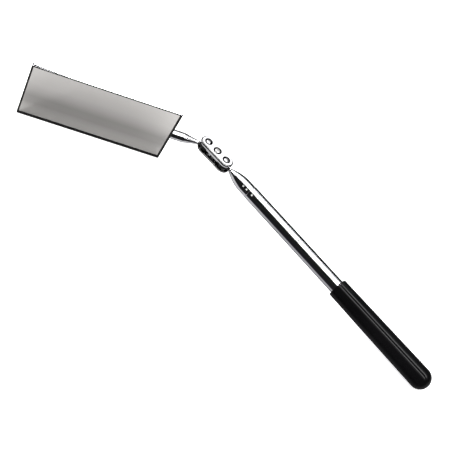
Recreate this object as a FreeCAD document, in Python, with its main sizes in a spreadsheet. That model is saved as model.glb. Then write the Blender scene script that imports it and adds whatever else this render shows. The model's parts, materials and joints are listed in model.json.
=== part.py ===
import FreeCAD, Part
import math
import os
import re

import Sketcher

# A telescoping inspection mirror in millimetres, lying on a bench.
# The mirror head stands on one long edge and the end of the grip rests on the bench.
#
# Four working frames carry the pieces:
#   handle frame  origin at the handle ball, +X towards the tip, so the pieces run to -X
#   link frame    origin midway between the balls, +X towards the head ball, +Z out of the front plate
#   head frame    origin at the head ball, +X out along the stem, +Z out of the mirror face
# The handle pieces are drawn with +X running from the ball to the grip and are turned round when placed.

DOCUMENT = FreeCAD.newDocument("inspection_mirror")
SHEET = DOCUMENT.addObject("Spreadsheet::Sheet", "Sizes")

DRIVING_SIZES = [
    # mirror head
    ("frame_length", 90.75),
    ("frame_width", 54.6),
    ("frame_depth", 2.7),
    ("frame_sheet", 0.4),
    ("frame_lip_near", 1.5),
    ("frame_lip_far", 1.2),
    ("frame_lip_top", 1.1),
    ("frame_lip_bottom", 2.4),
    ("frame_lip_thickness", 0.35),
    ("frame_corner_radius", 0.9),
    ("glass_thickness", 1.6),
    ("glass_side_gap", 0.15),
    ("pad_thickness", 0.35),
    ("face_height", 3.0),
    ("stem_to_frame", 22.6),
    # stem and its tongue behind the frame
    ("stem_diameter", 6.35),
    ("stem_nose_radius", 1.45),
    ("stem_cone_start", 6.3),
    ("stem_cone_end", 14.6),
    ("tongue_reach", 50.0),
    ("tongue_width", 8.6),
    ("tongue_thickness", 1.2),
    ("rivet_radius", 1.2),
    ("rivet_head_radius", 2.1),
    ("rivet_first", 33.0),
    ("rivet_second", 43.0),
    # ball joints
    ("ball_radius", 3.97),
    ("ball_spacing", 15.5),
    ("ball_clearance", 0.025),
    ("neck_radius", 1.1),
    ("nose_start", 5.4),
    ("neck_pin_end", 11.5),
    ("spin_clearance", 0.03),
    # link plates and tension screw
    ("plate_length", 25.4),
    ("plate_width", 9.5),
    ("plate_thickness", 2.1),
    ("plate_half_gap", 1.6),
    ("plate_edge_radius", 1.0),
    ("ball_window_radius", 2.6),
    ("relief_height", 1.15),
    ("relief_slope", 10.5),
    ("relief_inner_radius", 3.0),
    ("relief_outer_radius", 5.5),
    ("screw_radius", 1.45),
    ("screw_hole_radius", 1.6),
    ("screw_head_radius", 1.95),
    ("screw_recess_radius", 2.75),
    ("screw_recess_depth", 1.2),
    ("screw_slot_width", 0.8),
    # handle, measured along the axis from the handle ball
    ("nose_base", 24.0),
    ("nose_tangent", 19.2),
    ("nose_radius", 4.6),
    ("tube_mouth", 24.14),
    ("outer_tube_radius", 4.7625),
    ("outer_tube_wall", 0.5),
    ("outer_tube_end", 171.4),
    ("inner_mouth", 24.3),
    ("first_tube_radius", 4.0),
    ("tube_step", 0.65),
    ("tube_wall", 0.4),
    ("first_tube_end", 164.9),
    ("end_stagger", 3.0),
    ("sleeve_length", 7.0),
    ("sleeve_clearance", 0.03),
    ("crimp_length", 1.2),
    ("crimp_clearance", 0.05),
    ("last_tube_top", 12.0),
    ("plug_start", 166.4),
    ("plug_flange", 1.0),
    ("dimple_radius", 0.5),
    ("dimple_turn", 50.0),
    # grip
    ("grip_mouth", 100.6),
    ("grip_mouth_radius", 6.25),
    ("grip_radius", 6.9),
    ("grip_end", 178.4),
    # how the joints are set, in degrees
    ("handle_pitch", 6.202),
    ("tip_tilt", 0.19),
    ("tip_swing", 1.39),
    ("head_swing", 35.35),
    ("head_tilt", 4.84),
    ("head_spin", -102.31),
]

for row, (name, number) in enumerate(DRIVING_SIZES, start=1):
    SHEET.set("A%d" % row, name)
    SHEET.set("B%d" % row, str(number))
    SHEET.setAlias("B%d" % row, name)
DOCUMENT.recompute()

SIZE_NAMES = {name for name, number in DRIVING_SIZES}
INNER_TUBES = 5
BODIES = []


def formula(text):
    """Turn a size formula into an expression that reads the sheet."""
    return re.sub(r"[a-z_]+", lambda word: bound_name(word.group(0)), text)


def bound_name(word):
    return "Sizes." + word if word in SIZE_NAMES else word


def value(text):
    """Work a size formula out as a plain number."""
    result = SHEET.evalExpression(formula(text).replace("Sizes.", ""))
    return float(getattr(result, "Value", result))


def new_body(label):
    body = DOCUMENT.addObject("PartDesign::Body", label)
    body.Label = label
    BODIES.append(body)
    return body


def origin_feature(body, role):
    return next(item for item in body.Origin.OriginFeatures if item.Role == role)


def new_sketch(body, name, role, height=None):
    """Sketch on one of the body's origin planes, lifted along its normal when a height is given."""
    sketch = body.newObject("Sketcher::SketchObject", name)
    sketch.AttachmentSupport = [(origin_feature(body, role), "")]
    sketch.MapMode = "FlatFace"
    if height is not None:
        sketch.setExpression("AttachmentOffset.Base.z", formula(height))
    return sketch


def pin_point(sketch, edge, end, across, up):
    """Fix one end of an edge at a place given by two size formulas."""
    for kind, axis, text in (("DistanceX", -2, across), ("DistanceY", -1, up)):
        if text == "0":
            sketch.addConstraint(Sketcher.Constraint("PointOnObject", edge, end, axis))
            continue
        index = sketch.addConstraint(Sketcher.Constraint(kind, -1, 1, edge, end, value(text)))
        sketch.setExpression("Constraints[%d]" % index, formula(text))


def middle_of_arc(start, end, radius, bulge):
    """Point half-way along the arc; bulge is +1 when the arc swells to the left of travel."""
    chord = end - start
    half = chord.Length / 2
    rise = radius - math.sqrt(max(radius * radius - half * half, 0))
    left = FreeCAD.Vector(-chord.y, chord.x, 0).normalize()
    return (start + end) * 0.5 + left * (rise * bulge)


def outline(sketch, corners, arcs=None):
    """Close an outline through the corners; arcs maps an edge number to (radius formula, bulge)."""
    arcs = arcs or {}
    count = len(corners)
    places = [FreeCAD.Vector(value(across), value(up), 0) for across, up in corners]
    first_end = []
    for number in range(count):
        start = places[number]
        end = places[(number + 1) % count]
        if number in arcs:
            radius, bulge = arcs[number]
            middle = middle_of_arc(start, end, value(radius), bulge)
            sketch.addGeometry(Part.Arc(start, middle, end), False)
            first_end.append(1 if bulge < 0 else 2)
        else:
            sketch.addGeometry(Part.LineSegment(start, end), False)
            first_end.append(1)
    for number in range(count):
        after = (number + 1) % count
        sketch.addConstraint(
            Sketcher.Constraint("Coincident", number, 3 - first_end[number], after, first_end[after]))
    for number, (across, up) in enumerate(corners):
        pin_point(sketch, number, first_end[number], across, up)
    for number, (radius, bulge) in arcs.items():
        index = sketch.addConstraint(Sketcher.Constraint("Radius", number, value(radius)))
        sketch.setExpression("Constraints[%d]" % index, formula(radius))


def rectangle(sketch, left, bottom, right, top):
    """Four lines pinned at two opposite corners; edges are added after what the sketch already holds."""
    first = sketch.GeometryCount
    a = FreeCAD.Vector(value(left), value(bottom), 0)
    b = FreeCAD.Vector(value(right), value(top), 0)
    corners = [a, FreeCAD.Vector(b.x, a.y, 0), b, FreeCAD.Vector(a.x, b.y, 0)]
    for number in range(4):
        sketch.addGeometry(Part.LineSegment(corners[number], corners[(number + 1) % 4]), False)
    for number in range(4):
        sketch.addConstraint(
            Sketcher.Constraint("Coincident", first + number, 2, first + (number + 1) % 4, 1))
    for number, kind in enumerate(("Horizontal", "Vertical", "Horizontal", "Vertical")):
        sketch.addConstraint(Sketcher.Constraint(kind, first + number))
    pin_point(sketch, first, 1, left, bottom)
    pin_point(sketch, first + 2, 1, right, top)


def circle(sketch, across, up, radius):
    """One circle whose centre and radius are size formulas."""
    number = sketch.addGeometry(
        Part.Circle(FreeCAD.Vector(value(across), value(up), 0), FreeCAD.Vector(0, 0, 1), value(radius)),
        False)
    index = sketch.addConstraint(Sketcher.Constraint("Radius", number, value(radius)))
    sketch.setExpression("Constraints[%d]" % index, formula(radius))
    pin_point(sketch, number, 3, across, up)


def stadium(sketch, half_spacing, radius):
    """Straight-sided outline with two round ends centred on the X axis."""
    half = value(half_spacing)
    size = value(radius)
    up = FreeCAD.Vector(0, 0, 1)
    point = FreeCAD.Vector
    quarter = math.pi / 2
    right_circle = Part.Circle(point(half, 0, 0), up, size)
    left_circle = Part.Circle(point(-half, 0, 0), up, size)
    sketch.addGeometry(Part.ArcOfCircle(right_circle, -quarter, quarter), False)
    sketch.addGeometry(Part.LineSegment(point(half, size, 0), point(-half, size, 0)), False)
    sketch.addGeometry(Part.ArcOfCircle(left_circle, quarter, 3 * quarter), False)
    sketch.addGeometry(Part.LineSegment(point(-half, -size, 0), point(half, -size, 0)), False)
    for number in range(4):
        sketch.addConstraint(Sketcher.Constraint("Tangent", number, 2, (number + 1) % 4, 1))
    pin_point(sketch, 0, 3, half_spacing, "0")
    pin_point(sketch, 2, 3, "-(" + half_spacing + ")", "0")
    index = sketch.addConstraint(Sketcher.Constraint("Radius", 0, size))
    sketch.setExpression("Constraints[%d]" % index, formula(radius))


def pad(body, sketch, name, length, reversed_way=False):
    feature = body.newObject("PartDesign::Pad", name)
    feature.Profile = sketch
    feature.Reversed = reversed_way
    feature.setExpression("Length", formula(length))
    return feature


def pocket(body, sketch, name, depth, reversed_way=False):
    """Cut a sketch into the body and make sure that something was removed."""
    before = settled_volume(body)
    feature = body.newObject("PartDesign::Pocket", name)
    feature.Profile = sketch
    feature.Reversed = reversed_way
    feature.setExpression("Length", formula(depth))
    if settled_volume(body) >= before:
        raise ValueError("%s removed nothing" % name)
    return feature


def settled_volume(body):
    DOCUMENT.recompute()
    return body.Shape.Volume


def revolve(body, sketch, name, axis="H_Axis", angle=360.0):
    feature = body.newObject("PartDesign::Revolution", name)
    feature.Profile = sketch
    feature.ReferenceAxis = (sketch, [axis])
    feature.Angle = angle
    return feature


def groove(body, sketch, name, axis="H_Axis"):
    """Turn a sketch out of the body and make sure that something was removed."""
    before = settled_volume(body)
    feature = body.newObject("PartDesign::Groove", name)
    feature.Profile = sketch
    feature.ReferenceAxis = (sketch, [axis])
    feature.Angle = 360.0
    if settled_volume(body) >= before:
        raise ValueError("%s removed nothing" % name)
    return feature


def mirror_across(body, feature, name, role):
    copy = body.newObject("PartDesign::Mirrored", name)
    copy.Originals = [feature]
    copy.MirrorPlane = (origin_feature(body, role), [""])
    body.Tip = copy
    return copy


def dress_edges(body, kind, name, size_property, size, wanted):
    """Round or bevel every edge of the body that the test picks."""
    DOCUMENT.recompute()
    last = body.Tip
    names = ["Edge%d" % (number + 1) for number, edge in enumerate(last.Shape.Edges) if wanted(edge)]
    if not names:
        raise ValueError("%s found no edges" % name)
    feature = body.newObject("PartDesign::" + kind, name)
    feature.Base = (last, names)
    feature.setExpression(size_property, formula(size))
    return feature


def all_points(edge, test):
    """True when the test holds at both ends and in the middle of the edge."""
    places = [edge.valueAt(edge.FirstParameter + share * (edge.LastParameter - edge.FirstParameter))
              for share in (0.0, 0.5, 1.0)]
    return all(test(place) for place in places)


def upright(edge):
    """True for a straight edge that runs along Z."""
    start, end = edge.Vertexes[0].Point, edge.Vertexes[-1].Point
    return abs(start.x - end.x) < 1e-6 and abs(start.y - end.y) < 1e-6 and abs(start.z - end.z) > 1e-6


# ---------------------------------------------------------------- mirror head

FRAME_NEAR = "stem_to_frame"
FRAME_FAR = "stem_to_frame+frame_length"
FRAME_BACK = "face_height-frame_depth"


def build_mirror_frame():
    """Pressed tray: floor, four walls and a lip folded over the glass all round."""
    body = new_body("mirror_frame")
    tray = new_sketch(body, "frame_outline", "XY_Plane", FRAME_BACK)
    rectangle(tray, FRAME_NEAR, "-frame_width/2", FRAME_FAR, "frame_width/2")
    pad(body, tray, "frame_block", "frame_depth")
    dress_edges(body, "Fillet", "frame_corners", "Radius", "frame_corner_radius", upright)

    cavity = new_sketch(body, "frame_cavity_outline", "XY_Plane", FRAME_BACK + "+frame_sheet")
    rectangle(cavity, FRAME_NEAR + "+frame_sheet", "-frame_width/2+frame_sheet",
              FRAME_FAR + "-frame_sheet", "frame_width/2-frame_sheet")
    pocket(body, cavity, "frame_cavity", "frame_depth-frame_sheet-frame_lip_thickness", True)

    window = new_sketch(body, "frame_window_outline", "XY_Plane", "face_height-frame_lip_thickness-0.1")
    rectangle(window, FRAME_NEAR + "+frame_lip_near", "-frame_width/2+frame_lip_top",
              FRAME_FAR + "-frame_lip_far", "frame_width/2-frame_lip_bottom")
    pocket(body, window, "frame_window", "frame_lip_thickness+0.2", True)

    holes = new_sketch(body, "frame_rivet_holes_outline", "XY_Plane", FRAME_BACK + "-0.1")
    circle(holes, "rivet_first", "0", "rivet_radius")
    circle(holes, "rivet_second", "0", "rivet_radius")
    pocket(body, holes, "frame_rivet_holes", "frame_sheet+0.2", True)

    half_width = value("frame_width") / 2
    back = value(FRAME_BACK)
    front = value("face_height")

    def outer_distance(place):
        """How far a place lies inside the outer walls of the tray, ignoring its rounded corners."""
        along = min(place.x - value(FRAME_NEAR), value(FRAME_FAR) - place.x)
        across = half_width - abs(place.y)
        return min(along, across)

    def rim_edge(edge):
        level = all_points(edge, lambda place: abs(place.z - back) < 1e-6 or abs(place.z - front) < 1e-6)
        return level and all_points(edge, lambda place: outer_distance(place) < 0.3)

    dress_edges(body, "Fillet", "frame_rolled_edges", "Radius", "frame_sheet-0.12", rim_edge)
    return body


def build_mirror_glass():
    """Silvered plate glass held under the lip."""
    body = new_body("mirror_glass")
    base = FRAME_BACK + "+frame_sheet+pad_thickness"
    sketch = new_sketch(body, "glass_outline", "XY_Plane", base)
    rectangle(sketch, FRAME_NEAR + "+frame_sheet+glass_side_gap",
              "-frame_width/2+frame_sheet+glass_side_gap",
              FRAME_FAR + "-frame_sheet-glass_side_gap",
              "frame_width/2-frame_sheet-glass_side_gap")
    pad(body, sketch, "glass_plate", "glass_thickness")
    front = value(base) + value("glass_thickness")
    dress_edges(body, "Chamfer", "glass_ground_edge", "Size", "0.2",
                lambda edge: all_points(edge, lambda place: abs(place.z - front) < 1e-6))
    return body


def build_backing_pad():
    """Card between the glass and the floor of the tray."""
    body = new_body("backing_pad")
    sketch = new_sketch(body, "pad_outline", "XY_Plane", FRAME_BACK + "+frame_sheet")
    rectangle(sketch, FRAME_NEAR + "+frame_sheet+0.5", "-frame_width/2+frame_sheet+0.5",
              FRAME_FAR + "-frame_sheet-0.5", "frame_width/2-frame_sheet-0.5")
    pad(body, sketch, "pad_sheet", "pad_thickness")
    return body


def build_stem_ferrule():
    """Turned stem with a pointed front end and a flat tongue that lies under the tray."""
    body = new_body("stem_ferrule")
    bore = "neck_radius+spin_clearance"
    stem_end = "stem_to_frame-0.2"
    turned = new_sketch(body, "stem_profile", "XZ_Plane")
    outline(turned, [
        ("nose_start", bore),
        ("nose_start", "stem_nose_radius-0.1"),
        ("nose_start+0.1", "stem_nose_radius"),
        ("stem_cone_start", "stem_nose_radius"),
        ("stem_cone_end", "stem_diameter/2"),
        (stem_end, "stem_diameter/2"),
        (stem_end, "0"),
        ("neck_pin_end+0.2", "0"),
        ("neck_pin_end+0.2", bore),
    ])
    revolve(body, turned, "stem_turned")

    heel = new_sketch(body, "heel_profile", "XY_Plane")
    outline(heel, [
        (stem_end + "-1", "0"),
        (stem_end + "-1", "stem_diameter/2"),
        (stem_end, "stem_diameter/2"),
        (stem_end + "+7", "0.9"),
        (stem_end + "+7", "0"),
    ])
    revolve(body, heel, "heel_half_cone", angle=180.0).Reversed = True

    tongue = new_sketch(body, "tongue_outline", "XY_Plane", FRAME_BACK)
    outline(tongue, [
        (stem_end + "-1", "-stem_diameter/2+0.4"),
        (stem_end + "+4", "-tongue_width/2"),
        ("tongue_reach-2.5", "-tongue_width/2"),
        ("tongue_reach", "-tongue_width/2+2.5"),
        ("tongue_reach", "tongue_width/2-2.5"),
        ("tongue_reach-2.5", "tongue_width/2"),
        (stem_end + "+4", "tongue_width/2"),
        (stem_end + "-1", "stem_diameter/2-0.4"),
    ], arcs={2: ("2.5", -1), 4: ("2.5", -1)})
    pad(body, tongue, "tongue_plate", "tongue_thickness", True)

    holes = new_sketch(body, "tongue_rivet_holes_outline", "XY_Plane", FRAME_BACK + "-tongue_thickness-1")
    circle(holes, "rivet_first", "0", "rivet_radius")
    circle(holes, "rivet_second", "0", "rivet_radius")
    pocket(body, holes, "tongue_rivet_holes", "tongue_thickness+2", True)
    return body


def build_tongue_rivets():
    """Two round-headed rivets; their inner ends finish flush with the floor of the tray."""
    body = new_body("tongue_rivets")
    top = FRAME_BACK + "+frame_sheet"
    under = FRAME_BACK + "-tongue_thickness"
    profile = new_sketch(body, "rivet_profile", "XZ_Plane")
    outline(profile, [
        ("rivet_first", top),
        ("rivet_first+rivet_radius", top),
        ("rivet_first+rivet_radius", under),
        ("rivet_first+rivet_head_radius", under),
        ("rivet_first", under + "-1"),
    ], arcs={3: ("(rivet_head_radius*rivet_head_radius+1)/2", 1)})
    axis = sketch_axis(profile, "rivet_first")
    turned = revolve(body, profile, "rivet", axis)
    spaced = body.newObject("PartDesign::LinearPattern", "rivet_pair")
    spaced.Originals = [turned]
    spaced.Direction = (origin_feature(body, "X_Axis"), [""])
    spaced.setExpression("Length", formula("rivet_second-rivet_first"))
    spaced.Occurrences = 2
    body.Tip = spaced
    return body


def sketch_axis(sketch, across):
    """Add an upright construction line to turn a profile about, and give its name."""
    x = value(across)
    number = sketch.addGeometry(
        Part.LineSegment(FreeCAD.Vector(x, 0, 0), FreeCAD.Vector(x, 10, 0)), True)
    sketch.addConstraint(Sketcher.Constraint("Vertical", number))
    pin_point(sketch, number, 1, across, "0")
    sketch.addConstraint(Sketcher.Constraint("DistanceY", number, 1, number, 2, 10.0))
    return "Axis0"


# ---------------------------------------------------------------- ball joints

def build_ball(label):
    """Hardened steel ball, full sphere; the neck is brazed to its surface."""
    body = new_body(label)
    sketch = new_sketch(body, label + "_profile", "XZ_Plane")
    radius = value("ball_radius")
    full = Part.Circle(FreeCAD.Vector(0, 0, 0), FreeCAD.Vector(0, 0, 1), radius)
    sketch.addGeometry(Part.ArcOfCircle(full, 0, math.pi), False)
    sketch.addGeometry(Part.LineSegment(FreeCAD.Vector(-radius, 0, 0), FreeCAD.Vector(radius, 0, 0)), False)
    sketch.addConstraint(Sketcher.Constraint("Coincident", 0, 2, 1, 1))
    sketch.addConstraint(Sketcher.Constraint("Coincident", 1, 2, 0, 1))
    sketch.addConstraint(Sketcher.Constraint("Coincident", 0, 3, -1, 1))
    sketch.addConstraint(Sketcher.Constraint("PointOnObject", 0, 1, -1))
    sketch.addConstraint(Sketcher.Constraint("PointOnObject", 0, 2, -1))
    index = sketch.addConstraint(Sketcher.Constraint("Radius", 0, radius))
    sketch.setExpression("Constraints[%d]" % index, formula("ball_radius"))
    revolve(body, sketch, label + "_turned")
    return body


def build_neck_pin(label):
    """Thin pin from the ball into the ferrule, its end hollowed to fit the ball."""
    body = new_body(label)
    sketch = new_sketch(body, label + "_profile", "XZ_Plane")
    seat = "ball_radius+ball_clearance"
    rim = "sqrt((" + seat + ")^2-neck_radius^2)"
    outline(sketch, [
        (seat, "0"),
        (rim, "neck_radius"),
        ("neck_pin_end-0.3", "neck_radius"),
        ("neck_pin_end", "neck_radius-0.3"),
        ("neck_pin_end", "0"),
    ], arcs={0: (seat, -1)})
    revolve(body, sketch, label + "_turned")
    return body


# ---------------------------------------------------------------- link

def link_plate(label, front_plate):
    """Stamped plate with a window and a spherical seat over each ball; drawn as the front plate."""
    body = new_body(label)
    plan = new_sketch(body, label + "_outline", "XY_Plane", "plate_half_gap")
    stadium(plan, "(plate_length-plate_width)/2", "plate_width/2")
    pad(body, plan, label + "_blank", "plate_thickness")
    top = value("plate_half_gap+plate_thickness")
    dress_edges(body, "Fillet", label + "_rounded_edge", "Radius", "plate_edge_radius",
                lambda edge: all_points(edge, lambda place: abs(place.z - top) < 1e-6))

    seat = new_sketch(body, label + "_seat_profile", "XZ_Plane")
    radius = "(ball_radius+ball_clearance)"
    slope = "tan(relief_slope * 1deg)"
    outline(seat, [
        ("ball_spacing/2", "0"),
        ("ball_spacing/2+relief_outer_radius", "0"),
        ("ball_spacing/2+relief_outer_radius", "relief_height+relief_outer_radius*" + slope),
        ("ball_spacing/2+relief_inner_radius", "relief_height+relief_inner_radius*" + slope),
        ("ball_spacing/2", "relief_height+relief_inner_radius*" + slope),
    ])
    axis = sketch_axis(seat, "ball_spacing/2")
    relief = groove(body, seat, label + "_relief", axis)
    mirror_across(body, relief, label + "_second_relief", "YZ_Plane")

    ball = new_sketch(body, label + "_ball_profile", "XZ_Plane")
    outline(ball, [
        ("ball_spacing/2", "0"),
        ("ball_spacing/2+" + radius, "0"),
        ("ball_spacing/2+ball_window_radius", "sqrt(" + radius + "^2-ball_window_radius^2)"),
        ("ball_spacing/2+ball_window_radius", "plate_half_gap+plate_thickness+1"),
        ("ball_spacing/2", "plate_half_gap+plate_thickness+1"),
    ], arcs={1: (radius, -1)})
    axis = sketch_axis(ball, "ball_spacing/2")
    window = groove(body, ball, label + "_window", axis)
    mirror_across(body, window, label + "_second_window", "YZ_Plane")

    hole = new_sketch(body, label + "_screw_hole_outline", "XY_Plane", "plate_half_gap-0.5")
    circle(hole, "0", "0", "screw_hole_radius" if front_plate else "screw_radius+spin_clearance")
    pocket(body, hole, label + "_screw_hole", "plate_thickness+1", True)
    if front_plate:
        recess = new_sketch(body, label + "_recess_outline", "XY_Plane",
                            "plate_half_gap+plate_thickness-screw_recess_depth")
        circle(recess, "0", "0", "screw_recess_radius")
        pocket(body, recess, label + "_recess", "screw_recess_depth+0.5", True)
    return body


def build_tension_screw():
    """Slotted screw that draws the plates onto the balls."""
    body = new_body("tension_screw")
    under_head = "plate_half_gap+plate_thickness-screw_recess_depth+0.05"
    top = "plate_half_gap+plate_thickness"
    profile = new_sketch(body, "screw_profile", "XZ_Plane")
    outline(profile, [
        ("0", "-plate_half_gap-plate_thickness-0.25"),
        ("screw_radius-0.3", "-plate_half_gap-plate_thickness-0.25"),
        ("screw_radius", "-plate_half_gap-plate_thickness+0.05"),
        ("screw_radius", under_head),
        ("screw_head_radius", under_head),
        ("screw_head_radius", top + "-0.2"),
        ("screw_head_radius-0.35", top + "+0.05"),
        ("0", top + "+0.2"),
    ], arcs={6: ("8", -1)})
    revolve(body, profile, "screw_turned", "V_Axis")
    slot = new_sketch(body, "screw_slot_outline", "XY_Plane", top + "-0.55")
    rectangle(slot, "-screw_slot_width/2", "-screw_head_radius-0.5",
              "screw_slot_width/2", "screw_head_radius+0.5")
    pocket(body, slot, "screw_slot", "1.2", True)
    return body


# ---------------------------------------------------------------- handle

def tube_radius(number):
    """Outside radius of inner tube 1 (widest) to 5 (thinnest)."""
    return "(first_tube_radius-%d*tube_step)" % (number - 1)


def tube_end(number):
    """Where the grip-side end of an inner tube lies when everything is pushed home."""
    return "(first_tube_end-%d*end_stagger)" % (number - 1)


def build_outer_tube():
    body = new_body("outer_tube")
    sketch = new_sketch(body, "outer_tube_profile", "XZ_Plane")
    bore = "outer_tube_radius-outer_tube_wall"
    mouth = "first_tube_radius+crimp_clearance"
    outline(sketch, [
        ("tube_mouth", mouth),
        ("tube_mouth", "outer_tube_radius-0.25"),
        ("tube_mouth+0.25", "outer_tube_radius"),
        ("outer_tube_end", "outer_tube_radius"),
        ("outer_tube_end", bore),
        ("tube_mouth+crimp_length+0.3", bore),
        ("tube_mouth+crimp_length", mouth),
    ], arcs={1: ("0.25", 1)})
    revolve(body, sketch, "outer_tube_turned")
    punch_dimples(body, "outer_tube", ["tube_mouth+2.5"], "outer_tube_radius", "0.2")
    return body


def build_inner_tube(number):
    """One telescoping section, its mouth crimped in to stop the sleeve of the next."""
    body = new_body("section_tube_%d" % number)
    radius = tube_radius(number)
    bore = radius + "-tube_wall"
    mouth = tube_radius(number + 1) + "+crimp_clearance"
    sketch = new_sketch(body, "section_tube_%d_profile" % number, "XZ_Plane")
    outline(sketch, [
        ("inner_mouth", mouth),
        ("inner_mouth", radius + "-0.15"),
        ("inner_mouth+0.15", radius),
        (tube_end(number), radius),
        (tube_end(number), bore),
        ("inner_mouth+crimp_length+0.2", bore),
        ("inner_mouth+crimp_length", mouth),
    ])
    revolve(body, sketch, "section_tube_%d_turned" % number)
    return body


def build_tip_tube():
    """Thinnest tube; its top is fixed in the nose ferrule."""
    body = new_body("section_tube_5")
    radius = tube_radius(INNER_TUBES)
    sketch = new_sketch(body, "section_tube_5_profile", "XZ_Plane")
    outline(sketch, [
        ("last_tube_top", radius + "-tube_wall"),
        ("last_tube_top", radius),
        (tube_end(INNER_TUBES) + "+1.2", radius),
        (tube_end(INNER_TUBES) + "+1.2", radius + "-tube_wall"),
    ])
    revolve(body, sketch, "section_tube_5_turned")
    return body


def build_sleeve(number):
    """Springy brass sleeve near the end of an inner tube; it drags on the bore of the next tube out."""
    body = new_body("friction_sleeve_%d" % number)
    if number == 1:
        parent_bore = "outer_tube_radius-outer_tube_wall"
    else:
        parent_bore = tube_radius(number - 1) + "-tube_wall"
    inner = tube_radius(number)
    if number == INNER_TUBES:
        inner = inner + "+sleeve_clearance"
    far = tube_end(number)
    near = far + "-sleeve_length"
    sketch = new_sketch(body, "friction_sleeve_%d_profile" % number, "XZ_Plane")
    outline(sketch, [
        (near, inner),
        (near, parent_bore + "-sleeve_clearance"),
        (far, parent_bore + "-sleeve_clearance"),
        (far, inner),
    ])
    revolve(body, sketch, "friction_sleeve_%d_turned" % number)
    if number < INNER_TUBES:
        split = new_sketch(body, "friction_sleeve_%d_split_outline" % number, "XY_Plane")
        rectangle(split, near + "-0.5", "-0.4", far + "+0.5", "0.4")
        pocket(body, split, "friction_sleeve_%d_split" % number, "outer_tube_radius", True)
    return body


def build_nose_ferrule():
    """Bullet-shaped ferrule that closes the tube and carries the handle ball."""
    body = new_body("nose_ferrule")
    tube = tube_radius(INNER_TUBES)
    rise = "(nose_radius-stem_nose_radius)"
    run = "(nose_tangent-nose_start-0.4)"
    sketch = new_sketch(body, "nose_profile", "XZ_Plane")
    outline(sketch, [
        ("nose_start", "neck_radius"),
        ("nose_start", "stem_nose_radius"),
        ("nose_start+0.4", "stem_nose_radius"),
        ("nose_tangent", "nose_radius"),
        ("nose_base-0.2", "nose_radius"),
        ("nose_base", "nose_radius-0.2"),
        ("nose_base", tube),
        ("last_tube_top", tube),
        ("last_tube_top", "neck_radius"),
    ], arcs={2: ("(%s^2+%s^2)/(2*%s)" % (run, rise, rise), 1)})
    revolve(body, sketch, "nose_turned")
    punch_dimples(body, "nose", ["nose_base-4.95", "nose_base-2.05"], "nose_radius", "0.3")
    return body


def punch_dimples(body, name, places, radius, depth):
    """Small round stake marks on the +Z side."""
    sketch = new_sketch(body, name + "_dimples_outline", "XY_Plane", radius + "-" + depth)
    for along in places:
        circle(sketch, along, "0", "dimple_radius")
    pocket(body, sketch, name + "_dimples", "1", True)


def build_tube_end_plug():
    """Turned plug that closes the grip end of the outer tube."""
    body = new_body("tube_end_plug")
    sketch = new_sketch(body, "plug_profile", "XZ_Plane")
    bore = "outer_tube_radius-outer_tube_wall"
    outline(sketch, [
        ("plug_start", "0"),
        ("plug_start", bore + "-0.3"),
        ("plug_start+0.3", bore),
        ("outer_tube_end", bore),
        ("outer_tube_end", "outer_tube_radius"),
        ("outer_tube_end+plug_flange", "outer_tube_radius"),
        ("outer_tube_end+plug_flange", "0"),
    ])
    revolve(body, sketch, "plug_turned")
    return body


def build_grip():
    """Dipped vinyl grip, slightly thicker towards its domed end."""
    body = new_body("grip")
    sketch = new_sketch(body, "grip_profile", "XZ_Plane")
    outline(sketch, [
        ("grip_mouth", "outer_tube_radius"),
        ("grip_mouth", "grip_mouth_radius-0.6"),
        ("grip_mouth+0.6", "grip_mouth_radius"),
        ("grip_end-grip_radius", "grip_radius"),
        ("grip_end", "0"),
        ("outer_tube_end+plug_flange", "0"),
        ("outer_tube_end+plug_flange", "outer_tube_radius"),
    ], arcs={1: ("0.6", 1), 3: ("grip_radius", 1)})
    revolve(body, sketch, "grip_dipped")
    return body


# ---------------------------------------------------------------- placing

def turn(axis, degrees):
    return FreeCAD.Placement(FreeCAD.Vector(0, 0, 0), FreeCAD.Rotation(FreeCAD.Vector(*axis), degrees))


def shift(x, y=0.0, z=0.0):
    return FreeCAD.Placement(FreeCAD.Vector(x, y, z), FreeCAD.Rotation())


X_AXIS = (1, 0, 0)
Y_AXIS = (0, 1, 0)
Z_AXIS = (0, 0, 1)


def working_frames(start):
    """The handle, tip, link and head frames, worked out along the chain of joints."""
    handle = start.multiply(turn(Y_AXIS, -value("handle_pitch")))
    tilted = handle.multiply(turn(Y_AXIS, value("tip_tilt")))
    link_end = tilted.multiply(turn(Z_AXIS, value("tip_swing")))
    link = link_end.multiply(shift(value("ball_spacing/2")))
    head_ball = link_end.multiply(shift(value("ball_spacing")))
    swung = head_ball.multiply(turn(Z_AXIS, value("head_swing")))
    leaned = swung.multiply(turn(Y_AXIS, value("head_tilt")))
    head = leaned.multiply(turn(X_AXIS, value("head_spin")))
    return {
        "handle": handle,
        "tilted": tilted,
        "link_end": link_end,
        "link": link,
        "head_ball": head_ball,
        "swung": swung,
        "leaned": leaned,
        "head": head,
    }


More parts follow.
